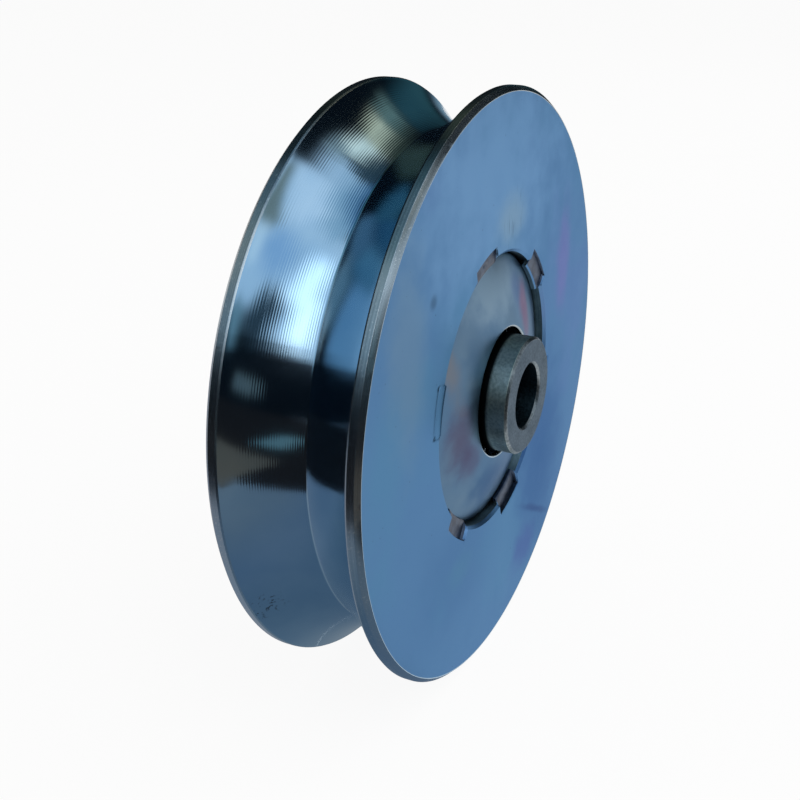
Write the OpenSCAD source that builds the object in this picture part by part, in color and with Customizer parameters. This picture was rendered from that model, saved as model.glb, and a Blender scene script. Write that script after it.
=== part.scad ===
// U-groove gate wheel for a round rail: a turned, zinc plated steel wheel with a wide groove, on a
// ball bearing that sits on a steel hub bush and is closed by two domed covers.
// The wheel turns about Y, its centre is the origin and its staked face looks along -Y.
// Sections are drawn as [radius, height], with the height counted towards the staked face.

/* [Wheel] */
// Diameter over the flanges
wheel_d = 100; // [90:1:160]
// Width over the flange faces
wheel_w = 25; // [24:0.5:36]
// Chamfer between the rim and each flange face
rim_chamfer = 0.8; // [0.2:0.1:1]
// Width of the flat land on the rim of each flange
rim_land = 1.15; // [0.5:0.05:2]

/* [Groove] */
// Depth of the groove below the rim
groove_depth = 7.4; // [4:0.1:12]
// Radius of the hollow of each wall
groove_wall_r = 30; // [20:1:80]
// Radius at the root, where the two walls meet
groove_root_r = 0.6; // [0.3:0.1:3]
// Edge break at the mouth of the groove
mouth_break = 0.15; // [0.1:0.05:0.4]

/* [Bearing] */
// Bore of the inner ring
bearing_bore = 20; // [17:0.5:21]
// Outer diameter of the outer ring
bearing_od = 47; // [45:0.5:54]
// Width of both rings
bearing_w = 14; // [11:0.5:18]
// Corner radius of both rings
ring_corner = 0.6; // [0.2:0.1:0.8]
// Distance of each ring's shoulder from the pitch circle
ring_land = 2.4; // [2:0.1:2.8]
// Ball diameter
ball_d = 7.938; // [6.5:0.1:8.4]
// Number of balls
ball_count = 8; // [6:1:8]
// Raceway radius as a share of the ball diameter
race_curve = 0.52; // [0.51:0.005:0.54]

/* [Cage] */
// Sheet thickness of the cage
cage_t = 0.8; // [0.5:0.1:0.9]
// Radial width of the cage ribbon
cage_band = 3.2; // [2.4:0.1:3.8]
// Shank diameter of the cage rivets
rivet_d = 1; // [0.7:0.1:1.2]
// Head diameter of the cage rivets
rivet_head_d = 1.8; // [1.5:0.1:2]
// Head height of the cage rivets
rivet_head_h = 0.4; // [0.3:0.1:0.6]

/* [Covers] */
// Sheet thickness of the covers
cover_t = 1; // [0.6:0.1:1.3]
// Depth of a cover's shoulder below the flange face
cover_inset = 1.6; // [1.3:0.1:2.2]
// Outer bend radius between a cover's skirt and its dome
cover_bend = 1.5; // [1.4:0.1:2]
// Radius of the dome
cover_dome_r = 70; // [50:1:120]
// Gap between the hub bush and the hole in a cover
cover_gap = 1.1; // [0.5:0.1:2]

/* [Hub bush] */
// Bore for the axle bolt
hub_bore_d = 11; // [8:0.5:13]
// How far each end stands proud of the flange face
hub_out = 5.5; // [3:0.5:10]
// Chamfer on the outer edges
hub_chamfer = 0.4; // [0.2:0.1:1]
// Chamfer at both ends of the bore
hub_bore_chamfer = 0.4; // [0.2:0.1:1.2]

/* [Staking] */
// Number of staked places around the front cover
stake_count = 6; // [3:1:8]
// Angle of the first staked place, in degrees from +X towards +Z
stake_angle = 47; // [0:1:60]
// Width of a staked place along the edge
stake_w = 9; // [5:0.5:12]
// Radial length of the punched pocket
stake_reach = 2.2; // [1.5:0.1:5]
// How far the displaced metal overhangs the cover
stake_overhang = 0.9; // [0.4:0.1:1.4]
// Thickness of the displaced metal
stake_lip_t = 0.8; // [0.2:0.05:1.1]

/* [Retaining shoulder] */
// How far the rear shoulder of the bore reaches in over the rear cover
shoulder_reach = 1.5; // [1:0.1:2.5]
// Edge break at both mouths of the bore
bore_break = 0.5; // [0.1:0.1:0.6]

/* [Fits] */
// Gap between pieces that are pressed or seated together
seat_gap = 0.02; // [0.01:0.01:0.05]
// Gap between the balls and the raceways
race_gap = 0.04; // [0.02:0.01:0.08]
// Gap between the balls and the cage
pocket_gap = 0.15; // [0.1:0.01:0.25]
// Gap between the staked metal and the cover under it
stake_gap = 0.05; // [0.02:0.01:0.2]

/* [Hidden] */
$fn = 128;
// Overrun of a cut past the face that it leaves
over = 1;
wheel_r = wheel_d / 2;
face_h = wheel_w / 2;
bore_r = bearing_od / 2;
ball_r = ball_d / 2;
pitch_r = (bearing_bore + bearing_od) / 4;
race_r = race_curve * ball_d;
ball_step = 360 / ball_count;
ring_h = bearing_w / 2;
hub_r = bearing_bore / 2 - seat_gap;
hub_h = face_h + hub_out;

// Groove: two hollow walls from the rims, tangent to the small round at the root
mouth_half = face_h - rim_chamfer - rim_land - mouth_break;
root_c = wheel_r - groove_depth + groove_root_r;
root_rise = wheel_r - root_c;
root_reach = norm([mouth_half, root_rise]);
inner_r = groove_wall_r - groove_root_r;
wall_along = (pow(inner_r, 2) - pow(groove_wall_r, 2) + pow(root_reach, 2)) / (2 * root_reach);
wall_off = sqrt(pow(inner_r, 2) - pow(wall_along, 2));
wall_c = root_c + (wall_along * root_rise + wall_off * mouth_half) / root_reach;
wall_shift = (wall_off * root_rise - wall_along * mouth_half) / root_reach;
function wall_half(r) = sqrt(pow(groove_wall_r, 2) - pow(wall_c - r, 2)) - wall_shift;

// Cover: a skirt, a bend and a dome, each tangent to the next
cover_r = bore_r - seat_gap;
cover_seat_h = ring_h + seat_gap;
bend_r = cover_r - cover_bend;
dome_slope = asin(bend_r / (cover_dome_r - cover_bend));
bend_h = face_h - cover_inset - cover_bend * cos(dome_slope);
dome_c = bend_h - (cover_dome_r - cover_bend) * cos(dome_slope);
cover_hole_r = hub_r + cover_gap;
function cover_top(r) = r < cover_dome_r * sin(dome_slope)
    ? dome_c + sqrt(pow(cover_dome_r, 2) - pow(r, 2))
    : bend_h + sqrt(pow(cover_bend, 2) - pow(r - bend_r, 2));

// Staked lips and rear shoulder, which hold the covers
stake_r = bore_r - stake_overhang;
stake_under_h = cover_top(stake_r) + stake_gap;
stake_floor_h = stake_under_h + stake_lip_t;
shoulder_r = bore_r - shoulder_reach;
shoulder_h = cover_top(shoulder_r) + seat_gap;

// Stands what is drawn about Z up along the wheel's axis, its top towards the staked face
module on_axis() {
    rotate([90, 0, 0])
        children();
}

module revolve() {
    on_axis()
        rotate_extrude()
            children();
}

module around_axis(count, start) {
    for (k = [0:count - 1])
        rotate(start + k * 360 / count)
            children();
}

// Everything from the axis out to radius r, between two heights
module core(r, low, high) {
    translate([0, low])
        square([r, high - low]);
}

module rounded_ring_section(r_in, r_out, half_h, corner) {
    difference() {
        translate([r_in, -half_h])
            square([r_out - r_in, 2 * half_h]);
        for (right = [0, 1], top = [0, 1])
            translate([right ? r_out : r_in, top ? half_h : -half_h])
                mirror([right, 0])
                    mirror([0, top])
                        difference() {
                            translate([-over, -over])
                                square(corner + over);
                            translate([corner, corner])
                                circle(r = corner);
                        }
    }
}

module groove_section() {
    tangent_r = root_c - groove_root_r * (wall_c - root_c) / inner_r;
    break_r = wheel_r - mouth_break;
    rim_half = mouth_half + mouth_break;
    translate([root_c, 0])
        circle(r = groove_root_r);
    intersection() {
        translate([wall_c, wall_shift])
            circle(r = groove_wall_r);
        translate([wall_c, -wall_shift])
            circle(r = groove_wall_r);
        translate([tangent_r, -face_h])
            square([wheel_r, wheel_w]);
    }
    polygon([
        [break_r, -wall_half(break_r)],
        [break_r, wall_half(break_r)],
        [wheel_r, rim_half],
        [wheel_r, -rim_half]
    ]);
}

module bore_section() {
    core(shoulder_r, -face_h - over, face_h);
    core(bore_r, -shoulder_h, face_h + over);
    polygon([
        [0, face_h - bore_break],
        [bore_r, face_h - bore_break],
        [bore_r + bore_break, face_h],
        [bore_r + bore_break, face_h + over],
        [0, face_h + over]
    ]);
    polygon([
        [0, bore_break - face_h],
        [shoulder_r, bore_break - face_h],
        [shoulder_r + bore_break, -face_h],
        [shoulder_r + bore_break, -face_h - over],
        [0, -face_h - over]
    ]);
}

module wheel_section() {
    difference() {
        polygon([
            [0, -face_h],
            [wheel_r - rim_chamfer, -face_h],
            [wheel_r, rim_chamfer - face_h],
            [wheel_r, face_h - rim_chamfer],
            [wheel_r - rim_chamfer, face_h],
            [0, face_h]
        ]);
        groove_section();
        bore_section();
    }
}

module stake_pocket() {
    translate([stake_r, -stake_w / 2, stake_floor_h])
        cube([stake_overhang + stake_reach, stake_w, face_h - stake_floor_h + over]);
}

module stake_lip() {
    translate([stake_r, -stake_w / 2, stake_under_h])
        cube([stake_overhang + stake_reach / 2, stake_w, stake_lip_t]);
}

module wheel_body() {
    color("#8aa4c0")
        on_axis()
            union() {
                difference() {
                    rotate_extrude()
                        wheel_section();
                    around_axis(stake_count, stake_angle)
                        stake_pocket();
                }
                around_axis(stake_count, stake_angle)
                    stake_lip();
            }
}

// Everything under a cover's skin, drawn in by inset from its outer face
module under_cover(inset) {
    dome_in = cover_dome_r - inset;
    intersection() {
        translate([0, dome_c])
            circle(r = dome_in);
        core(dome_in * sin(dome_slope), 0, face_h + cover_dome_r);
    }
    intersection() {
        translate([bend_r, bend_h])
            circle(r = cover_bend - inset);
        core(cover_r, bend_h, face_h);
    }
    core(cover_r - inset, 0, bend_h);
}

module cover() {
    color("#7389a2")
        revolve()
            difference() {
                under_cover(0);
                under_cover(cover_t);
                core(cover_hole_r, 0, face_h + cover_dome_r);
                core(bore_r, 0, cover_seat_h);
            }
}

module front_cover() {
    cover();
}

module rear_cover() {
    mirror([0, 1, 0])
        cover();
}

module hub_bush() {
    bore_r = hub_bore_d / 2;
    color("#5c676c")
        revolve()
            polygon([
                [bore_r, hub_bore_chamfer - hub_h],
                [bore_r + hub_bore_chamfer, -hub_h],
                [hub_r - hub_chamfer, -hub_h],
                [hub_r, hub_chamfer - hub_h],
                [hub_r, hub_h - hub_chamfer],
                [hub_r - hub_chamfer, hub_h],
                [bore_r + hub_bore_chamfer, hub_h],
                [bore_r, hub_h - hub_bore_chamfer]
            ]);
}

module bearing_outer_ring() {
    color("#b9bec2")
        revolve()
            difference() {
                rounded_ring_section(pitch_r + ring_land, bore_r - seat_gap, ring_h, ring_corner);
                translate([pitch_r + ball_r + race_gap - race_r, 0])
                    circle(r = race_r);
            }
}

module bearing_inner_ring() {
    color("#b9bec2")
        revolve()
            difference() {
                rounded_ring_section(bearing_bore / 2, pitch_r - ring_land, ring_h, ring_corner);
                translate([pitch_r - ball_r - race_gap + race_r, 0])
                    circle(r = race_r);
            }
}

// A ribbon of sheet that runs flat between the balls and bulges round each of them
module cage_half() {
    pocket_r = ball_r + pocket_gap;
    color("#8d8676")
        on_axis()
            difference() {
                intersection() {
                    rotate_extrude()
                        translate([pitch_r - cage_band / 2, 0])
                            square([cage_band, ring_h]);
                    union() {
                        cylinder(r = bore_r, h = cage_t);
                        around_axis(ball_count, 0)
                            translate([pitch_r, 0, 0])
                                sphere(r = pocket_r + cage_t);
                    }
                }
                around_axis(ball_count, 0)
                    translate([pitch_r, 0, 0])
                        sphere(r = pocket_r);
                around_axis(ball_count, ball_step / 2)
                    translate([pitch_r, 0, -over])
                        cylinder(d = rivet_d + 2 * seat_gap, h = cage_t + 2 * over);
            }
}

module cage_front_half() {
    cage_half();
}

module cage_rear_half() {
    mirror([0, 1, 0])
        cage_half();
}

// A round head whose rim has the head's diameter
module rivet_head() {
    dome_r = (pow(rivet_head_d / 2, 2) + pow(rivet_head_h, 2)) / (2 * rivet_head_h);
    rotate_extrude()
        intersection() {
            translate([0, rivet_head_h - dome_r])
                circle(r = dome_r);
            square([rivet_head_d, rivet_head_h]);
        }
}

module cage_rivets() {
    head_h = cage_t + seat_gap;
    color("#9a9a98")
        on_axis()
            around_axis(ball_count, ball_step / 2)
                translate([pitch_r, 0, 0]) {
                    translate([0, 0, -head_h])
                        cylinder(d = rivet_d, h = 2 * head_h);
                    translate([0, 0, head_h])
                        rivet_head();
                    mirror([0, 0, 1])
                        translate([0, 0, head_h])
                            rivet_head();
                }
}

module ball(k) {
    color("#d5d9dc")
        on_axis()
            rotate((k - 1) * ball_step)
                translate([pitch_r, 0, 0])
                    sphere(r = ball_r);
}

wheel_body();
front_cover();
rear_cover();
hub_bush();
bearing_outer_ring();
bearing_inner_ring();
cage_front_half();
cage_rear_half();
cage_rivets();
for (k = [1:ball_count])
    ball(k);
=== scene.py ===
import math
import random

import bpy
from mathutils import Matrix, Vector


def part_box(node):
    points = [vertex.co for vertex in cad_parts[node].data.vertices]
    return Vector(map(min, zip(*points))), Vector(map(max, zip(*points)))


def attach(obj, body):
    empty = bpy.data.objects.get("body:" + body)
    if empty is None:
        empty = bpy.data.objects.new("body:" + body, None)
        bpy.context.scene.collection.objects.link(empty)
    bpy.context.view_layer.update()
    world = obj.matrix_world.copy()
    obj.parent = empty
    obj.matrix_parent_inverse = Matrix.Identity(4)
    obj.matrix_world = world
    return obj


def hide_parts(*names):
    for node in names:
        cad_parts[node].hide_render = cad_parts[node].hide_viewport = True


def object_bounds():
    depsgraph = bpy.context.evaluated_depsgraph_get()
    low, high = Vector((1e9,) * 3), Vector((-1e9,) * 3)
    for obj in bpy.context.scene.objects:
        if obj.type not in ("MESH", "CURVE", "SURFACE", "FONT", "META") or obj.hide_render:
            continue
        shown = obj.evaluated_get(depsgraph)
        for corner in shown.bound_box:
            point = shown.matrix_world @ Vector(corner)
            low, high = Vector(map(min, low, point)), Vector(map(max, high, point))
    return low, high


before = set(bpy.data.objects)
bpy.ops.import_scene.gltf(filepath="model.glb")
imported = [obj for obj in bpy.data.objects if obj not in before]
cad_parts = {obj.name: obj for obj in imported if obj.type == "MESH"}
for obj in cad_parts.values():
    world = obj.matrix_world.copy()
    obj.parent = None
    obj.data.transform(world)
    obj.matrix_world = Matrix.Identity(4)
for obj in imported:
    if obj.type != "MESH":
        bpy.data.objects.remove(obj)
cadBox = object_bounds()
mm = 0.001  # the script's own sizes are in millimetres
print("frame loaded:", len(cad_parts), "nodes")


def hexColour(code, strength=1.0):
    # sRGB hex to the linear colour that Blender's sockets take
    parts = [int(code[i:i + 2], 16) / 255 for i in (1, 3, 5)]
    linear = [c / 12.92 if c <= 0.04045 else ((c + 0.055) / 1.055) ** 2.4 for c in parts]
    return (*[c * strength for c in linear], 1.0)


def addNode(material, kind, settings=None, links=None):
    # one node, its settings and what feeds it; a number names a socket by its place
    node = material.node_tree.nodes.new(kind)
    for key, value in (settings or {}).items():
        if key == "ramp":
            stops = node.color_ramp.elements
            while len(stops) < len(value):
                stops.new(1.0)
            while len(stops) > len(value):
                stops.remove(stops[-1])
            for stop, (place, colour) in zip(stops, value):
                stop.position = place
                stop.color = hexColour(colour)
        elif isinstance(key, int) or key in node.inputs:
            node.inputs[key].default_value = value
        else:
            setattr(node, key, value)
    for key, source in (links or {}).items():
        material.node_tree.links.new(source, node.inputs[key])
    return node.outputs


def newMaterial(name):
    material = bpy.data.materials.new(name)
    material.use_nodes = True
    material.node_tree.nodes.clear()
    return material


def finishMaterial(material, surface):
    addNode(material, "ShaderNodeOutputMaterial", links={"Surface": surface})
    return material


def millimetres(material):
    # object coordinates turned to millimetres, so that a scale of 1 / size draws that size
    place = addNode(material, "ShaderNodeTexCoord")
    return addNode(material, "ShaderNodeVectorMath", {"operation": "SCALE", "Scale": 1 / mm},
                   {0: place["Object"]})["Vector"]


def parted(values):
    # numbers and tuples are set on a node, sockets are linked to it
    fixed = {i: v for i, v in enumerate(values) if isinstance(v, (int, float, tuple))}
    return fixed, {i: v for i, v in enumerate(values) if i not in fixed}


def number(material, operation, *values):
    fixed, fed = parted(values)
    return addNode(material, "ShaderNodeMath", {"operation": operation, **fixed}, fed)["Value"]


def vector(material, operation, *values):
    fixed, fed = parted(values)
    made = addNode(material, "ShaderNodeVectorMath", {"operation": operation, **fixed}, fed)
    return made["Value" if operation in ("LENGTH", "DISTANCE", "DOT_PRODUCT") else "Vector"]


def noise(material, place, size, detail, **settings):
    # blotches about this size
    settings.update({"Scale": 1 / size, "Detail": detail})
    return addNode(material, "ShaderNodeTexNoise", settings, {"Vector": place})["Fac"]


def bands(material, along, size, detail):
    # noise that changes along one direction only
    settings = {"noise_dimensions": "1D", "Scale": 1 / size, "Detail": detail}
    return addNode(material, "ShaderNodeTexNoise", settings, {"W": along})["Fac"]


def ranged(material, value, start, end, low=0.0, high=1.0, fade="LINEAR"):
    # low where the value reaches start, high where it reaches end
    settings = {"interpolation_type": fade, "From Min": start, "From Max": end,
                "To Min": low, "To Max": high}
    return addNode(material, "ShaderNodeMapRange", settings, {"Value": value})["Result"]


def ramped(material, value, stops):
    return addNode(material, "ShaderNodeValToRGB", {"ramp": stops}, {"Fac": value})["Color"]


def tinted(material, amount, film, colour):
    settings = {"data_type": "RGBA", 7: hexColour(colour)}
    return addNode(material, "ShaderNodeMix", settings, {0: amount, 6: film})[2]


def toned(material, film, tone):
    links = {0: film, "Scale": tone}
    return addNode(material, "ShaderNodeVectorMath", {"operation": "SCALE"}, links)["Vector"]


def bumped(material, height, depth, under=None):
    links = {"Height": height}
    if under is not None:
        links["Normal"] = under
    settings = {"Strength": 1.0, "Distance": depth * mm}
    return addNode(material, "ShaderNodeBump", settings, links)["Normal"]


def metal(material, film, relief, roughness, edgeTint=None):
    # roughness is a number or the socket that feeds it
    settings, links = {"Metallic": 1.0}, {"Base Color": film, "Normal": relief}
    (settings if isinstance(roughness, float) else links)["Roughness"] = roughness
    if edgeTint:
        settings["Specular Tint"] = hexColour(edgeTint)
    surface = addNode(material, "ShaderNodeBsdfPrincipled", settings, links)["BSDF"]
    return finishMaterial(material, surface)


# a stain starts and is full at these shares of its size, once the noise that moves its rim is added
stainRim = (1.75, 0.55)


def stained(material, place, film, wander, stains):
    # soft ovals across the axis whose rims wander a little, as a dried film does
    for centre, size, turn, colour, strength in stains.values():
        c, s = math.cos(math.radians(turn)), math.sin(math.radians(turn))
        off = vector(material, "SUBTRACT", place, (centre[0], 0, centre[1]))
        across = vector(material, "DOT_PRODUCT", off, (c / size[0], 0, s / size[0]))
        along = vector(material, "DOT_PRODUCT", off, (-s / size[1], 0, c / size[1]))
        oval = addNode(material, "ShaderNodeCombineXYZ", links={"X": across, "Y": along})
        rim = number(material, "ADD", vector(material, "LENGTH", oval["Vector"]), wander)
        amount = ranged(material, rim, *stainRim, 0.0, strength, "SMOOTHERSTEP")
        film = tinted(material, amount, film, colour)
    return film


# bright zinc plate with a blue passivate: a thin clear film over satin metal that drifts
# from teal to blue and violet, with dust specks, faint handling marks and some painted light and
# shade
zincFace = {
    "film": [(0.34, "#5882a5"), (0.47, "#597ea5"), (0.58, "#597ea5"), (0.68, "#5e7ca8")],
    "edgeTint": "#c4daf1",  # the film keeps its colour at a low angle
    "driftMm": 30, "mottleMm": 6, "mottleTone": (0.93, 1.07),
    "speck": "#33404f", "speckMm": 0.5, "speckFrom": (0.76, 0.82),
    "grainMm": 0.35, "grainDepthMm": 0.0003,
    "roughness": (0.28, 0.36), "roughnessFrom": (0.3, 0.7),
    # place across the axis (x, z), size (along x, along z), turn in degrees, colour and strength
    "stains": {
        # painted light: a paler sheen over the top of the face
        "paintedSheenTop": ((-4, 38), (38, 24), 0, "#7398be", 0.9),
        # painted shade: darker low on the right of the face
        "paintedShadeRight": ((24, -22), (17, 26), 0, "#2f5388", 0.8),
        "deepLow": ((-16, -26), (22, 14), 0, "#4a6c96", 0.5),
        "violetRight": ((31.8, 15), (4.5, 13), 0, "#7a6eac", 0.7),
        "violetLow": ((17, -39), (7, 6), 0, "#4a4f94", 0.55),
        "greyLeft": ((-35, 18), (8, 20), 0, "#6d88a0", 0.65),
        "greyAbove": ((4, 28.5), (8, 5.5), 0, "#86a0b4", 0.8),
        "greyUnder": ((-14, -27), (7, 4), 0, "#55809c", 0.5),
        "smudge": ((-26.5, 23.2), (1.5, 1.4), 0, "#3b5067", 0.6),
        "darkStreak": ((22.5, -33.3), (11, 1.0), -28, "#26356e", 0.7),
    },
    # fine upright scratches above the bore
    "scratches": {"centre": (4.5, 28.5), "size": (8, 7), "fullShare": 0.5, "spacingMm": 0.5,
                  "lengthMm": 5.0, "from": (0.6, 0.72), "strength": 0.6, "colour": "#3a5066"},
}


def zincFaceMaterial():
    look, marks = zincFace, zincFace["scratches"]
    material = newMaterial("bluePassivatedZinc")
    place = millimetres(material)
    film = ramped(material, noise(material, place, look["driftMm"], 3), look["film"])
    mottle = noise(material, place, look["mottleMm"], 4)
    film = stained(material, place, film, mottle, look["stains"])
    film = toned(material, film, ranged(material, mottle, 0.0, 1.0, *look["mottleTone"]))
    specks = ranged(material, noise(material, place, look["speckMm"], 1), *look["speckFrom"])
    film = tinted(material, specks, film, look["speck"])
    (x, z), (width, height) = marks["centre"], marks["size"]
    off = vector(material, "SUBTRACT", place, (x, 0, z))
    off = vector(material, "MULTIPLY", off, (1 / width, 0, 1 / height))
    near = ranged(material, vector(material, "LENGTH", off), 1.0, marks["fullShare"])
    drawn = (1 / marks["spacingMm"], 0, 1 / marks["lengthMm"])
    lines = noise(material, vector(material, "MULTIPLY", place, drawn), 1.0, 2)
    scratch = ranged(material, lines, *marks["from"], 0.0, marks["strength"])
    film = tinted(material, number(material, "MULTIPLY", near, scratch), film, marks["colour"])
    gloss = ranged(material, mottle, *look["roughnessFrom"], *look["roughness"])
    relief = bumped(material, noise(material, place, look["grainMm"], 2), look["grainDepthMm"])
    return metal(material, film, relief, gloss, look["edgeTint"])


# the same plate over a freshly turned groove: mirror bright, with the fine ridges that the
# tool's feed leaves
zincGroove = {
    "film": [(0.36, "#94b8d3"), (0.6, "#a2c2d9")], "driftMm": 14, "roughness": 0.11,
    "feedMm": 0.31,            # ridge spacing along the axis, about 0.38 mm along the wall
    "ridgeMm": 0.0040,         # height of a ridge
    "ridgeFrom": (-1.0, 0.4),  # ridges start and are full at these places along the axis
    "smoothMm": 2.2,           # the last pass left this much wall without ridges below the rim
    "fadeMm": 0.6,             # half the stretch over which they end
    "unevenMm": 0.9,           # their height varies over this length
    "waveMm": 7, "waveDepthMm": 0.006,
    # a rubbed patch low on the rear wall, and how far from its middle it starts and is full
    "scuff": {"centre": (-41.5, 8.6, -25), "reach": (4.0, 1.6), "grainMm": 0.7, "coarse": 0.7,
              "from": (0.56, 0.62), "colour": "#59636c"},
}


def zincGrooveMaterial(mouthHalf):
    look, scuff = zincGroove, zincGroove["scuff"]
    material = newMaterial("turnedBrightZinc")
    place = millimetres(material)
    along = addNode(material, "ShaderNodeSeparateXYZ", links={"Vector": place})["Y"]
    film = ramped(material, noise(material, place, look["driftMm"], 3), look["film"])
    # the ridges run round the axis, on the rear wall up to the smooth strip
    phase = number(material, "MULTIPLY", along, 2 * math.pi / look["feedMm"])
    smoothFrom, fade = mouthHalf - look["smoothMm"], look["fadeMm"]
    lowSide = ranged(material, along, *look["ridgeFrom"])
    highSide = ranged(material, along, smoothFrom + fade, smoothFrom - fade)
    depth = number(material, "MULTIPLY", lowSide, highSide)
    depth = number(material, "MULTIPLY", depth, bands(material, along, look["unevenMm"], 1))
    ridges = number(material, "MULTIPLY", number(material, "SINE", phase), depth)
    relief = bumped(material, ridges, look["ridgeMm"])
    wave = noise(material, place, look["waveMm"], 1)
    relief = bumped(material, wave, look["waveDepthMm"], relief)
    near = ranged(material, vector(material, "DISTANCE", place, scuff["centre"]), *scuff["reach"])
    grain = noise(material, place, scuff["grainMm"], 5, Roughness=scuff["coarse"])
    rubbed = number(material, "MULTIPLY", near, ranged(material, grain, *scuff["from"]))
    film = tinted(material, rubbed, film, scuff["colour"])
    return metal(material, film, relief, look["roughness"])


# plated edges: greyer and satin, with faint turning streaks that run round the axis and small
# bright chips, and bluer low on the wheel
zincRim = {
    "film": [(0.5, "#818e96"), (0.85, "#abb8c0")], "streakMm": 0.3, "cloudMm": 9,
    "roughness": (0.22, 0.3), "chip": "#d3dade", "chipMm": 0.35,
    "stains": {"blueLow": ((-30, -50), (80, 80), 0, "#9dbbd2", 0.85)},
}
# the bore's wall, where the plating is thin: dull grey green, with a whitish patch low on the
# right
zincBore = {
    "film": [(0.5, "#5d6a6c"), (0.85, "#8a9796")], "streakMm": 0.25, "cloudMm": 5,
    "roughness": (0.28, 0.4), "chip": "#9aa5a2", "chipMm": 0.5,
    "stains": {"whitishLow": ((16, -17.5), (6, 7), 0, "#eef5ea", 0.9)},
}
# what both share
turnedEdge = {"streakShare": 0.4, "streakDepthMm": 0.001, "chipFrom": (0.6, 0.7),
              "chipStrength": 0.5}


def turnedEdgeMaterial(name, look):
    material = newMaterial(name)
    place = millimetres(material)
    along = addNode(material, "ShaderNodeSeparateXYZ", links={"Vector": place})["Y"]
    streak = bands(material, along, look["streakMm"], 2)
    cloud = noise(material, place, look["cloudMm"], 3)
    both = number(material, "MULTIPLY_ADD", streak, turnedEdge["streakShare"], cloud)
    film = ramped(material, both, look["film"])
    film = stained(material, place, film, cloud, look["stains"])
    chips = noise(material, place, look["chipMm"], 3)
    chipped = ranged(material, chips, *turnedEdge["chipFrom"], 0.0, turnedEdge["chipStrength"])
    film = tinted(material, chipped, film, look["chip"])
    gloss = ranged(material, cloud, 0.0, 1.0, *look["roughness"])
    return metal(material, film, bumped(material, streak, turnedEdge["streakDepthMm"]), gloss)


# steel squeezed by the staking punch: plating smeared to a dull grey, darkened further as painted
# shade in the pockets
stakeMarkAndShade = {"film": [(0.4, "#333e50"), (0.62, "#475468")], "smearMm": 1.4, "smearDepthMm": 0.012,
             "roughness": 0.42}


def stakeMarkAndShadeMaterial():
    material = newMaterial("punchedZincAndShade")
    smear = noise(material, millimetres(material), stakeMarkAndShade["smearMm"], 4)
    film = ramped(material, smear, stakeMarkAndShade["film"])
    relief = bumped(material, smear, stakeMarkAndShade["smearDepthMm"])
    return metal(material, film, relief, stakeMarkAndShade["roughness"])


# zinc plated pressed sheet: duller than the wheel, stained maroon and violet, with hair scratches and
# a painted paler sheen on its upper part
zincCover = {
    "film": [(0.4, "#567491"), (0.62, "#677f93")],
    "edgeTint": "#c8d6e6",
    "driftMm": 16, "mottleMm": 4, "mottleTone": (0.9, 1.1),
    # turn (radians) and shortening of the noise that draws the scratches
    "scratchMm": 0.25, "scratchDepthMm": 0.001, "scratchTurn": 0.9, "scratchStretch": 0.08,
    "roughness": (0.28, 0.36), "roughnessFrom": (0.3, 0.7),
    # as on the wheel's face
    "stains": {
        "maroonLeft": ((-16, -3), (5, 7), 0, "#544a62", 0.75),
        "maroonLow": ((-12, -8.5), (4, 4), 0, "#564b64", 0.6),
        "brownRim": ((-19, 11), (3, 10), 20, "#77787c", 0.7),
        # painted light: a paler sheen over the upper part of the cover
        "paintedSheenUpper": ((-2, 19.5), (15, 9), 0, "#8fa6b6", 0.8),
        "blueLow": ((-3, -15.5), (9, 5), 0, "#2b5078", 0.9),
        "blueHub": ((-11, 8), (4, 7), 0, "#41607f", 0.6),
        "violetUpper": ((8, 16), (3.5, 4), 0, "#4c628f", 0.6),
        "roseStreak": ((10.8, 11.5), (3.5, 6.5), 0, "#85566f", 0.9),
    },
}


def zincCoverMaterial():
    look = zincCover
    material = newMaterial("dullZincSheet")
    place = millimetres(material)
    film = ramped(material, noise(material, place, look["driftMm"], 3), look["film"])
    mottle = noise(material, place, look["mottleMm"], 4)
    film = stained(material, place, film, mottle, look["stains"])
    film = toned(material, film, ranged(material, mottle, 0.0, 1.0, *look["mottleTone"]))
    gloss = ranged(material, mottle, *look["roughnessFrom"], *look["roughness"])
    mapping = {"Rotation": (0, look["scratchTurn"], 0), "Scale": (look["scratchStretch"], 1, 1)}
    drawn = addNode(material, "ShaderNodeMapping", mapping, {"Vector": place})["Vector"]
    hair = noise(material, drawn, look["scratchMm"], 2)
    relief = bumped(material, hair, look["scratchDepthMm"])
    return metal(material, film, relief, gloss, look["edgeTint"])


# heat treated, shot blasted steel: dark grey green, fine pits that catch the light
hubSteel = {
    "pitMm": 0.45, "cloudMm": 3.0, "cloudShare": 0.6, "toneFrom": (0.6, 0.98),
    "edgeTint": "#cdd4da",
    # dark and pale tone, roughness and depth of the pits of each surface
    "side": ("#99a89f", "#c3d0c7", 0.4, 0.016),
    "end": ("#47545f", "#65727e", 0.42, 0.008),
    "chamfer": ("#626b70", "#8f989d", 0.32, 0.003),
    "bore": ("#2c3f4a", "#4a6472", 0.4, 0.008),
    # painted shade darkens the side where it leaves the cover: colour, and the heights where it
    # ends and is full
    "footShade": ("#12171a", 14.8, 14.2),
}


def hubSteelMaterial(name, part):
    dark, pale, roughness, pitDepth = hubSteel[part]
    material = newMaterial(name)
    place = millimetres(material)
    pits = noise(material, place, hubSteel["pitMm"], 3)
    cloud = noise(material, place, hubSteel["cloudMm"], 3)
    both = number(material, "MULTIPLY_ADD", cloud, hubSteel["cloudShare"], pits)
    film = ramped(material, both, list(zip(hubSteel["toneFrom"], (dark, pale))))
    if part == "side":
        # painted shade at the foot of the side, next to the cover
        colour, ends, full = hubSteel["footShade"]
        along = addNode(material, "ShaderNodeSeparateXYZ", links={"Vector": place})["Y"]
        footShaded = ranged(material, number(material, "ABSOLUTE", along), ends, full)
        film = tinted(material, footShaded, film, colour)
    relief = bumped(material, pits, pitDepth)
    return metal(material, film, relief, roughness, hubSteel["edgeTint"])


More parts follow.
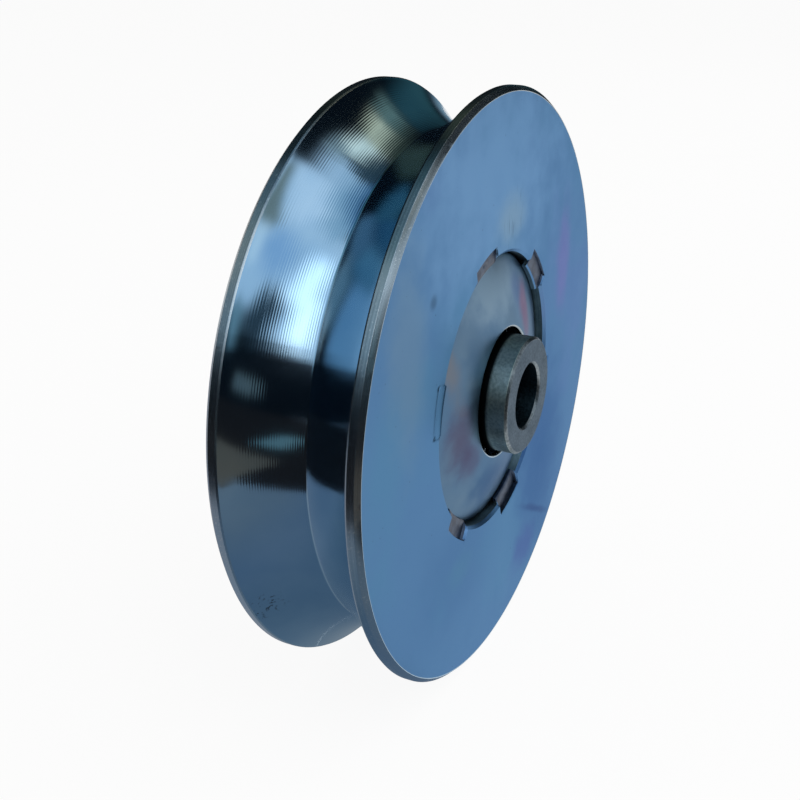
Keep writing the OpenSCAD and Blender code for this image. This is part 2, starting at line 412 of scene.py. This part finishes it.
# ground bearing steel: neutral, bright, with grinding lines too fine to see, drawn at 0.2 mm so
# that they show
bearingSteel = {"film": [(0.35, "#a5a9ac"), (0.65, "#c6c9cb")], "lineMm": 0.2,
                "lineDepthMm": 0.0008, "roughness": 0.16}
# pressed and oiled sheet steel of the ball cage: warm grey, half matt
cageSteel = {"film": [(0.35, "#7a7265"), (0.65, "#9a9182")], "lineMm": 0.8,
             "lineDepthMm": 0.0008, "roughness": 0.34}


def plainSteelMaterial(name, look):
    material = newMaterial(name)
    lines = noise(material, millimetres(material), look["lineMm"], 2)
    film = ramped(material, lines, look["film"])
    return metal(material, film, bumped(material, lines, look["lineDepthMm"]), look["roughness"])


# how finely corners are rounded, and which edges stay sharp or flat in the shading (degrees)
shaping = {"cornerSteps": 3, "straight": 88, "sharp": 40, "flatWeight": 80}


def rounded(outline):
    # outline points are (radius, height, finish, corner radius); each corner becomes a short arc
    made = []
    steps = shaping["cornerSteps"]
    for i, (r, h, finish, corner) in enumerate(outline):
        here = Vector((r, h))
        before, after = Vector(outline[i - 1][:2]), Vector(outline[(i + 1) % len(outline)][:2])
        toBefore, toAfter = (before - here).normalized(), (after - here).normalized()
        half = toBefore.angle(toAfter) / 2
        if corner <= 0 or half > math.radians(shaping["straight"]):
            made.append((r, h, finish))
            continue
        reach = corner / math.tan(half)
        middle = here + (toBefore + toAfter).normalized() * corner / math.sin(half)
        start, end = here + toBefore * reach - middle, here + toAfter * reach - middle
        for k in range(steps + 1):
            spoke = start.lerp(end, k / steps).normalized() * corner
            made.append((middle.x + spoke.x, middle.y + spoke.y, finish))
    return made


def turnedPiece(name, columns, finishOf, materials):
    # columns: one ring section each, a list of (angle, radius, height); closed both ways
    rows = len(columns[0])
    points = [(r * math.cos(a) * mm, -h * mm, r * math.sin(a) * mm)
              for column in columns for a, r, h in column]
    faces, slots = [], []
    for c in range(len(columns)):
        here, beside = c * rows, (c + 1) % len(columns) * rows
        for row in range(rows):
            after = (row + 1) % rows
            faces.append((here + row, here + after, beside + after, beside + row))
            slots.append(finishOf(c, row))
    mesh = bpy.data.meshes.new(name)
    mesh.from_pydata(points, [], faces)
    for material in materials:
        mesh.materials.append(material)
    mesh.polygons.foreach_set("material_index", slots)
    mesh.polygons.foreach_set("use_smooth", [True] * len(faces))
    mesh.set_sharp_from_angle(angle=math.radians(shaping["sharp"]))
    piece = bpy.data.objects.new(name, mesh)
    bpy.context.scene.collection.objects.link(piece)
    normals = piece.modifiers.new("flatFaces", "WEIGHTED_NORMAL")
    normals.keep_sharp = True
    normals.weight = shaping["flatWeight"]
    return piece


def ringPiece(name, section, count, order, materials):
    # the same section all the way round
    angles = [2 * math.pi * k / count for k in range(count)][::order]
    columns = [[(a, r, h) for r, h, finish in section] for a in angles]
    return turnedPiece(name, columns, lambda c, row: section[row][2], materials)


wheelBox, coverBox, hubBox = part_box("wheel_body"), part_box("front_cover"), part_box("hub_bush")

# the turned wheel with its groove, its bore and the six staked places on the front edge of the bore
wheel = {
    "radius": wheelBox[1].x / mm, "faceHeight": -wheelBox[0].y / mm,
    "rimChamfer": 0.8, "rimLand": 1.15, "mouthBreak": 0.15, "mouthRound": 0.05,
    "grooveDepth": 7.4, "wallRadius": 30.0, "wallSteps": 22, "rootRadius": 0.6, "rootSteps": 3,
    "boreRadius": 23.5, "boreBreak": 0.5, "shoulderRadius": 22.0, "shoulderHeight": 11.076,
    "edgeRadius": 0.12, "columns": 420,
}
stakes = {
    "firstAngle": 47, "width": 9.0, "reach": 2.2, "lipRadius": 22.6, "lipUnder": 10.93,
    "endWall": 0.35, "beside": 0.25, "clear": 0.3, "steps": 12,
    "seed": 7, "unevenMm": 0.15, "lipShare": 0.4, "tilt": 0.1,
    # struck by hand, so each slips a little (degrees), bites deeper or less deep, reaches a little
    # further or less far (millimetres) and is dull dark grey from one row of its edge outwards,
    # partly smeared plating and partly painted shade
    "strokes": [(-3.5, 0.55, 0.3, 6), (-2.5, 0.5, -0.2, 4), (1, 0.12, 0.1, 10),
                (3.5, 0.85, 0.3, 2), (1.5, 0.8, 0.4, 2), (-2, 0.8, 0, 2)],
}
# the wheel's finishes, by their place in its list of materials
facePlate, groovePlate, rimPlate, punchedAndShadedPlate, borePlate = range(5)


def grooveHalf():
    # half the width of the groove at its mouth
    return wheel["faceHeight"] - wheel["rimChamfer"] - wheel["rimLand"] - wheel["mouthBreak"]


def wheelOutline():
    radius, face, mouthHalf = wheel["radius"], wheel["faceHeight"], grooveHalf()
    # each hollow wall is an arc from the mouth that runs into the small round at the root
    wall, root = wheel["wallRadius"], wheel["rootRadius"]
    rootMiddle = radius - wheel["grooveDepth"] + root
    rise = radius - rootMiddle
    reach = math.hypot(mouthHalf, rise)
    along = ((wall - root) ** 2 - wall ** 2 + reach ** 2) / (2 * reach)
    off = math.sqrt((wall - root) ** 2 - along ** 2)
    wallMiddle = rootMiddle + (along * rise + off * mouthHalf) / reach
    shift = (off * rise - along * mouthHalf) / reach
    start = math.acos((wallMiddle - (radius - wheel["mouthBreak"])) / wall)
    end = math.asin(shift / (wall - root))
    steps, rootSteps = wheel["wallSteps"], wheel["rootSteps"]
    turns = [start + (end - start) * k / steps for k in range(steps + 1)]
    hollow = [(wallMiddle - wall * math.cos(t), wall * math.sin(t) - shift) for t in turns]
    turns = [end * k / rootSteps for k in reversed(range(rootSteps))]
    half = hollow + [(rootMiddle - root * math.cos(t), root * math.sin(t)) for t in turns]
    section = half + [(r, -h) for r, h in reversed(half[:-1])]
    edge, tiny, chamfer = wheel["edgeRadius"], wheel["mouthRound"], wheel["rimChamfer"]
    shoulder, seat = wheel["shoulderRadius"], -wheel["shoulderHeight"]
    # a tiny round at each mouth keeps the wall's shading clear of the break beside it
    return [
        (radius - chamfer, face, rimPlate, edge),
        (radius, face - chamfer, rimPlate, edge),
        (radius, mouthHalf + wheel["mouthBreak"], rimPlate, tiny),
        (*section[0], groovePlate, tiny),
        *[(r, h, groovePlate, 0) for r, h in section[1:-1]],
        (*section[-1], rimPlate, tiny),
        (radius, -mouthHalf - wheel["mouthBreak"], rimPlate, tiny),
        (radius, chamfer - face, rimPlate, edge),
        (radius - chamfer, -face, facePlate, edge),
        (shoulder + wheel["boreBreak"], -face, rimPlate, edge),
        (shoulder, wheel["boreBreak"] - face, rimPlate, edge),
        (shoulder, seat, rimPlate, 0),
        (wheel["boreRadius"], seat, rimPlate, 0),
    ]


def buildWheel(materials):
    bore, face, edge = wheel["boreRadius"], wheel["faceHeight"], wheel["boreBreak"]
    lip, under = stakes["lipRadius"], stakes["lipUnder"]
    wall = bore + stakes["reach"]
    # rows of the front edge: where each lies on the plain edge, and where the punch moves it; a
    # height below zero is counted from the pocket's floor
    edgeRows = [
        ((bore, 4.0), (bore, 4.0)),
        ((bore, 10.6), (bore, 10.6)),
        ((bore, 11.0), (bore, under)),
        ((bore, 11.3), (lip + 0.3, under - 0.02)),
        ((bore, 11.6), (lip, under + 0.08)),
        ((bore, face - edge), (lip + 0.03, -0.25)),
        ((bore + edge / 2, face - edge / 2), (lip + 0.3, -0.03)),
        ((bore + edge, face), (bore + 0.2, -0.001)),
        ((bore + 0.9, face), (bore + 0.9, -0.001)),
        ((wall - 1.1, face), (wall - 1.1, -0.001)),
        ((wall - 0.15, face), (wall - 0.1, -0.001)),
        ((wall, face), (wall, face - 0.1)),
        ((wall + 0.15, face), (wall + 0.12, face)),
        ((wall + 0.9, face), (wall + 0.9, face)),
    ]
    boreRows, lipRows, firstWallRow, lastShadedRow = 5, range(3, 7), 9, 10
    turned = rounded(wheelOutline())
    rows = [plain for plain, punched in edgeRows] + [(r, h) for r, h, finish in turned]
    finishes = [borePlate] * boreRows + [facePlate] * (len(edgeRows) - boreRows)
    finishes += [finish for r, h, finish in turned]

    draw = random.Random(stakes["seed"])
    strokes = stakes["strokes"]
    step, spread = 2 * math.pi / len(strokes), wheel["columns"] // len(strokes)
    middles = [math.radians(stakes["firstAngle"] + stroke[0]) + k * step
               for k, stroke in enumerate(strokes)]
    angleEdge = math.asin((stakes["width"] / 2 + stakes["unevenMm"] + stakes["clear"]) / bore)
    end, steps = stakes["endWall"], stakes["steps"]
    columns, shadedFromRows = [], []
    for k, (slip, bite, further, shadedFrom) in enumerate(strokes):
        middle, following = middles[k], middles[(k + 1) % len(middles)]
        shift = [draw.uniform(-1, 1) * stakes["unevenMm"] for i in range(3)]
        half = stakes["width"] / 2 + shift[0]
        spots = [half - end - i * (2 * half - 2 * end) / steps for i in range(steps + 1)]
        for spot in (half + stakes["beside"], half, half - end * 0.5):
            spots += [spot, -spot]
        for spot in sorted(spots):
            amount = min(1.0, max(0.0, (half - abs(spot)) / end))
            column = []
            for i, (r, h) in enumerate(rows):
                if i >= len(edgeRows):
                    column.append((middle + math.asin(spot / bore), r, h))
                    continue
                pr, ph = edgeRows[i][1]
                if i in lipRows:
                    pr += shift[1] * stakes["lipShare"]
                if i >= firstWallRow:
                    pr += further
                if ph < 0:
                    ph += face - bite + stakes["tilt"] * spot * shift[2]
                column.append((middle + math.asin(spot / r), r + (pr - r) * amount,
                               h + (ph - h) * amount))
            columns.append(column)
            shadedFromRows.append(shadedFrom if amount > 0.0 else len(rows))
        gap = (following - middle) % (2 * math.pi) - 2 * angleEdge
        for i in range(1, spread):
            angle = middle + angleEdge + gap * i / spread
            columns.append([(angle, r, h) for r, h in rows])
            shadedFromRows.append(len(rows))

    # the punched rows are dull dark grey, partly smeared plating and partly painted shade of the
    # pocket
    def finishOf(c, row):
        shadedFrom = max(shadedFromRows[c], shadedFromRows[(c + 1) % len(columns)])
        return punchedAndShadedPlate if shadedFrom <= row <= lastShadedRow else finishes[row]

    return turnedPiece("wheelBody", columns, finishOf, materials)


# the pressed cover: skirt, bend, dome and the hole round the hub
cover = {
    "radius": coverBox[1].x / mm, "seatHeight": -coverBox[1].y / mm, "sheet": 1.0, "inset": 1.6,
    "bend": 1.5, "bendSteps": 8, "domeRadius": 70.0, "domeSteps": 14, "holeRadius": 11.08,
    "cutEdge": 0.25, "underEdge": 0.05, "columns": 360,
}
sheetFace, sheetEdge = range(2)


def coverSection():
    bendMiddle = cover["radius"] - cover["bend"]
    slope = math.asin(bendMiddle / (cover["domeRadius"] - cover["bend"]))
    bendHeight = wheel["faceHeight"] - cover["inset"] - cover["bend"] * math.cos(slope)
    domeMiddle = bendHeight - (cover["domeRadius"] - cover["bend"]) * math.cos(slope)
    bendSteps, domeSteps = cover["bendSteps"], cover["domeSteps"]

    def skin(inset):
        # from the foot of the skirt up round the bend and in over the dome
        line = [(cover["radius"] - inset, cover["seatHeight"])]
        for k in range(bendSteps + 1):
            turn = (math.pi / 2 - slope) * k / bendSteps
            line.append((bendMiddle + (cover["bend"] - inset) * math.cos(turn),
                         bendHeight + (cover["bend"] - inset) * math.sin(turn)))
        dome = cover["domeRadius"] - inset
        hole = math.asin(cover["holeRadius"] / dome)
        for k in range(1, domeSteps + 1):
            turn = slope + (hole - slope) * k / domeSteps
            line.append((dome * math.sin(turn), domeMiddle + dome * math.cos(turn)))
        return line

    return skin(0), skin(cover["sheet"])


def buildCover(name, side, materials):
    outer, inner = coverSection()
    outline = [(r, h, sheetFace, 0) for r, h in outer[:-1]]
    outline += [(*outer[-1], sheetEdge, cover["cutEdge"])]
    outline += [(*inner[-1], sheetFace, cover["underEdge"])]
    outline += [(r, h, sheetFace, 0) for r, h in reversed(inner[:-1])]
    section = [(r, side * h, finish) for r, h, finish in rounded(outline)]
    return ringPiece(name, section, cover["columns"], side, materials)


# the hub bush that stands out of both covers
hub = {
    "radius": hubBox[1].x / mm, "height": hubBox[1].y / mm, "bore": 5.5, "chamfer": 0.4,
    "boreChamfer": 0.4, "edgeRadius": 0.08, "columns": 300,
}
hubSide, hubEnd, hubChamfer, hubBore = range(4)


def buildHub(materials):
    r, b, h = hub["radius"], hub["bore"], hub["height"]
    c, bc, edge = hub["chamfer"], hub["boreChamfer"], hub["edgeRadius"]
    outline = [
        (b, h - bc, hubChamfer, edge), (b + bc, h, hubEnd, edge),
        (r - c, h, hubChamfer, edge), (r, h - c, hubSide, edge),
        (r, c - h, hubChamfer, edge), (r - c, -h, hubEnd, edge),
        (b + bc, -h, hubChamfer, edge), (b, bc - h, hubBore, edge),
    ]
    return ringPiece("hubBush", rounded(outline), hub["columns"], 1, materials)


faceFinish, stakeAndShadeFinish = zincFaceMaterial(), stakeMarkAndShadeMaterial()
rimFinish = turnedEdgeMaterial("satinZincEdge", zincRim)
boreFinish = turnedEdgeMaterial("dullZincBore", zincBore)
grooveFinish = zincGrooveMaterial(grooveHalf())
wheelPiece = buildWheel([faceFinish, grooveFinish, rimFinish, stakeAndShadeFinish, boreFinish])
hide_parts("wheel_body")
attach(wheelPiece, "wheel")
print("wheel turned:", len(wheelPiece.data.polygons), "faces")

coverFinish = zincCoverMaterial()
for coverNode, coverName, side in (("front_cover", "frontCover", 1), ("rear_cover", "rearCover", -1)):
    coverPiece = buildCover(coverName, side, [coverFinish, rimFinish])
    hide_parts(coverNode)
    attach(coverPiece, "wheel")
print("covers pressed")

hubLooks = (("blastedHubSteel", "side"), ("groundHubEnd", "end"),
            ("turnedHubChamfer", "chamfer"), ("drilledHubBore", "bore"))
hubPiece = buildHub([hubSteelMaterial(name, part) for name, part in hubLooks])
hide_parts("hub_bush")
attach(hubPiece, "hub")
print("hub turned")

ringSteel = plainSteelMaterial("groundBearingSteel", bearingSteel)
ribbonSteel = plainSteelMaterial("oiledCageSteel", cageSteel)
steelOf = {"ball_": ringSteel, "bearing_": ringSteel, "cage_": ribbonSteel}
for nodeName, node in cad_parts.items():
    for start, steel in steelOf.items():
        if nodeName.startswith(start):
            node.data.materials.clear()
            node.data.materials.append(steel)
print("bearing finished")

# a white sheet under the wheel, which keeps a soft shadow
floor = {"half": 3.0, "white": "#f6f6f5", "glow": 0.93}


def seenRays(material):
    # above zero for what the camera, a reflection or a clear piece sees
    path = addNode(material, "ShaderNodeLightPath")
    seen = number(material, "ADD", path["Is Camera Ray"], path["Is Glossy Ray"])
    return number(material, "ADD", seen, path["Is Transmission Ray"])


def flatSheet(name, corner, opposite, height, material):
    (x0, y0), (x1, y1) = corner, opposite
    mesh = bpy.data.meshes.new(name)
    points = [(x, y, height) for x, y in ((x0, y0), (x1, y0), (x1, y1), (x0, y1))]
    mesh.from_pydata(points, [], [(0, 1, 2, 3)])
    mesh.materials.append(material)
    piece = bpy.data.objects.new(name, mesh)
    bpy.context.scene.collection.objects.link(piece)
    return piece


def buildFloor():
    material = newMaterial("whitePaper")
    colour = {"Color": hexColour(floor["white"])}
    paper = addNode(material, "ShaderNodeBsdfDiffuse", colour)["BSDF"]
    white = {"Color": (1, 1, 1, 1), "Strength": 1.0}
    glow = addNode(material, "ShaderNodeEmission", white)["Emission"]
    share = addNode(material, "ShaderNodeMath",
                    {"operation": "MULTIPLY", 1: floor["glow"], "use_clamp": True},
                    {0: seenRays(material)})["Value"]
    both = addNode(material, "ShaderNodeMixShader", links={0: share, 1: paper, 2: glow})
    finishMaterial(material, both["Shader"])
    half = floor["half"]
    flatSheet("floorSheet", (-half, -half), (half, half), cadBox[0].z, material)


buildFloor()

# a tent of pale and dark cloth round the wheel, which only its reflections show: azimuth (0 is the
# front, -90 the left), elevation, half width, half height, turn, softness (degrees), colour,
# strength
tent = {
    "radius": 1.2, "segments": 48, "rings": 24, "base": "#0c1218",
    "panels": {
        "sky": (-40, 46, 60, 25, 0, 4, "#e5f3ff", 1.0),
        "skyLeft": (-113, 38, 16, 18, 0, 5, "#b9d0de", 1.0),
        "skyHigh": (-2, 70, 46, 6.5, 0, 4, "#b4cede", 1.0),
        "skyTop": (0, 78, 70, 4, 0, 3, "#5f86a6", 1.0),
        "skyBlue": (-24, 43, 10, 7, 0, 6, "#c2e0ff", 0.88),
        "skyFront": (2, 58, 18, 8, 0, 4, "#f4f8ff", 1.15),
        "skyFar": (32, 63, 14, 6, 0, 6, "#e6f0fa", 1.0),
        "rearDeep": (-165, 60, 22, 10, 0, 6, "#7b97a6", 0.9),
        "rearDim": (-146, 40, 14, 12, 0, 6, "#b0bdbc", 0.9),
        "rearPale": (-150, 24, 9, 8, 0, 4, "#f4ece0", 0.9),
        "leftHigh": (-122, 62, 22, 9, 0, 6, "#7fa6b2", 1.0),
        "leftTop": (-125, 78, 55, 8, 0, 5, "#436f84", 1.0),
        "rightTop": (150, 74, 32, 8, 0, 5, "#4c7783", 1.0),
        "rightRear": (116, 50, 12, 12, 0, 6, "#4c5548", 1.0),
        "coreLow": (-59, 33, 7, 10, 0, 4, "#ffffff", 2.2),
        "coreHigh": (-51, 46, 8, 11, 0, 5, "#ffffff", 2.2),
        "bandFade": (64, 69, 20, 6, 0, 4, "#3c4d54", 1.0),
        "bandSide": (86, 48, 6, 14, 0, 4, "#42483d", 1.0),
        "bandStart": (47, 58, 9, 3.5, 0, 4, "#cdd6d2", 0.7),
        "bandHigh": (63, 58.5, 11, 3.5, -10, 4, "#fff6e0", 1.5),
        "bandMid": (76, 50, 9, 4.5, -55, 3.5, "#fff0c8", 0.9),
        "bandLow": (84, 38, 6, 4.5, -60, 3.5, "#768a80", 1.0),
        "rightDeep": (95, 20, 14, 5, -68, 4, "#2e5259", 1.0),
        "rightTail": (107, -2, 5, 5, 0, 4, "#7391a3", 1.0),
        "frontLow": (4, 42.5, 15, 6, 8, 2.5, "#989a8f", 1.0),
        "frontEdge": (-13, 36, 7, 3, 42, 2.5, "#f4fbff", 1.1),
        "frontPale": (28, 10, 30, 24, 0, 6, "#d3dce4", 1.0),
        "skyLow": (-24, 17, 7, 6, 0, 3, "#a8cdd8", 0.6),
        "treeGap": (-38, 26, 7, 9, 12, 3.5, "#35454e", 1.0),
        "midPale": (-43, 4, 6, 2.5, 0, 1.5, "#cfe0e0", 0.22),
    },
}


def hidden(piece):
    # only reflections see it
    for ray in ("camera", "diffuse", "transmission", "volume_scatter", "shadow"):
        setattr(piece, "visible_" + ray, False)


def buildTent():
    bpy.ops.mesh.primitive_uv_sphere_add(
        segments=tent["segments"], ring_count=tent["rings"], radius=tent["radius"])
    piece = bpy.context.object
    piece.name = "reflectionTent"
    material = newMaterial("tentCloth")
    way = vector(material, "NORMALIZE", addNode(material, "ShaderNodeTexCoord")["Object"])
    part = addNode(material, "ShaderNodeSeparateXYZ", links={"Vector": way})
    toFront = number(material, "MULTIPLY", part["Y"], -1.0)
    azimuth = number(material, "ARCTAN2", part["X"], toFront)
    elevation = number(material, "ARCSINE", part["Z"])
    light = None
    for az, el, width, height, turn, soft, colour, level in tent["panels"].values():
        aside = number(material, "SUBTRACT", azimuth, math.radians(az))
        aside = number(material, "WRAP", aside, math.pi, -math.pi)
        above = number(material, "SUBTRACT", elevation, math.radians(el))
        off = addNode(material, "ShaderNodeCombineXYZ", links={"X": aside, "Y": above})["Vector"]
        c, s = math.cos(math.radians(turn)), math.sin(math.radians(turn))
        edges = []
        for aim, half in (((c, s, 0), width), ((-s, c, 0), height)):
            reach = number(material, "ABSOLUTE", vector(material, "DOT_PRODUCT", off, aim))
            edges.append(ranged(material, reach, math.radians(half + soft),
                                math.radians(half - soft), fade="SMOOTHSTEP"))
        links = {0: number(material, "MULTIPLY", *edges)}
        if light is not None:
            links[6] = light
        cloth = {"data_type": "RGBA", 6: hexColour(tent["base"]), 7: hexColour(colour, level)}
        light = addNode(material, "ShaderNodeMix", cloth, links)[2]
    glow = addNode(material, "ShaderNodeEmission", links={"Color": light})["Emission"]
    piece.data.materials.append(finishMaterial(material, glow))
    hidden(piece)


# cards on the floor, which only reflections show, the later ones on top: two corners (millimetres)
# and the colours along y
floorCards = {
    "darkCard": ((-1100, -1100), (-20, 1100), [(0, "#221f20")]),
    "brownCard": ((-170, -190), (-85, -70), [(-130, "#6a5e53")]),
    "tealCard": ((-330, -145), (-215, -85), [(-85, "#70898b")]),
    "slateCard": ((-112, -68), (-20, 300), [
        (-68, "#7d868f"), (-30, "#737d88"), (-10, "#69788a"), (3, "#5e7081"), (13, "#808c96"),
        (22, "#9fa1a8"), (60, "#a5a3a9")]),
    "slateUnder": ((-20, -12.5), (300, 300), [
        (-10, "#69788a"), (3, "#5e7081"), (13, "#808c96"), (22, "#9fa1a8")]),
}
cardStep = 0.1  # each card lies this far above the one before


def buildFloorCards():
    for k, (name, (corner, opposite, tones)) in enumerate(floorCards.items()):
        material = newMaterial(name)
        along = addNode(material, "ShaderNodeSeparateXYZ", links={"Vector": millimetres(material)})
        start, reach = tones[0][0], max(tones[-1][0] - tones[0][0], 1)
        place = ranged(material, along["Y"], start, start + reach)
        tone = ramped(material, place, [((y - start) / reach, colour) for y, colour in tones])
        glow = addNode(material, "ShaderNodeEmission", links={"Color": tone})["Emission"]
        finishMaterial(material, glow)
        corners = [[v * mm for v in spot] for spot in (corner, opposite)]
        hidden(flatSheet(name, *corners, cadBox[0].z + cardStep * (k + 1) * mm, material))


buildTent()
buildFloorCards()
print("studio dressed")

# soft lamps for the floor and the shadow: place (millimetres), size (metres), power
lamps = {
    "keyLamp": ((-250, -500, 700), 0.7, 3.2),
    "fillLamp": ((500, -350, 500), 0.9, 1.6),
}
for lampName, (spot, size, power) in lamps.items():
    light = bpy.data.lights.new(lampName, "AREA")
    light.size = size
    light.energy = power
    lamp = bpy.data.objects.new(lampName, light)
    lamp.location = Vector(spot) * mm
    lamp.rotation_euler = (-lamp.location).to_track_quat("-Z", "Y").to_euler()
    lamp.visible_glossy = False
    bpy.context.scene.collection.objects.link(lamp)

# the room's even light, and the white that the camera and the reflections see of it
room = {"light": 0.45, "white": 1.0}
world = bpy.data.worlds.new("paleRoom")
world.use_nodes = True
world.node_tree.nodes.clear()
level = ranged(world, seenRays(world), 0.0, 1.0, room["light"], room["white"])
walls = addNode(world, "ShaderNodeBackground", {"Color": (1, 1, 1, 1)}, {"Strength": level})
addNode(world, "ShaderNodeOutputWorld", links={"Surface": walls["Background"]})
bpy.context.scene.world = world
bpy.context.scene.view_settings.view_transform = "Standard"

# the photograph's view: place in millimetres, angles in degrees, nearest visible distance in metres
view = {"place": (-171.017, -78.056, 74.917), "azimuth": -63.853, "elevation": 22.804,
        "lens": 52.384, "nearest": 0.01}
camera = bpy.data.objects.new("photoCamera", bpy.data.cameras.new("photoCamera"))
turn, rise = math.radians(view["azimuth"]), math.radians(view["elevation"])
back = Vector((math.sin(turn) * math.cos(rise), -math.cos(turn) * math.cos(rise), math.sin(rise)))
camera.location = Vector(view["place"]) * mm
camera.rotation_euler = (-back).to_track_quat("-Z", "Y").to_euler()
camera.data.lens = view["lens"]
camera.data.clip_start = view["nearest"]
bpy.context.scene.collection.objects.link(camera)
bpy.context.scene.camera = camera
print("camera set")
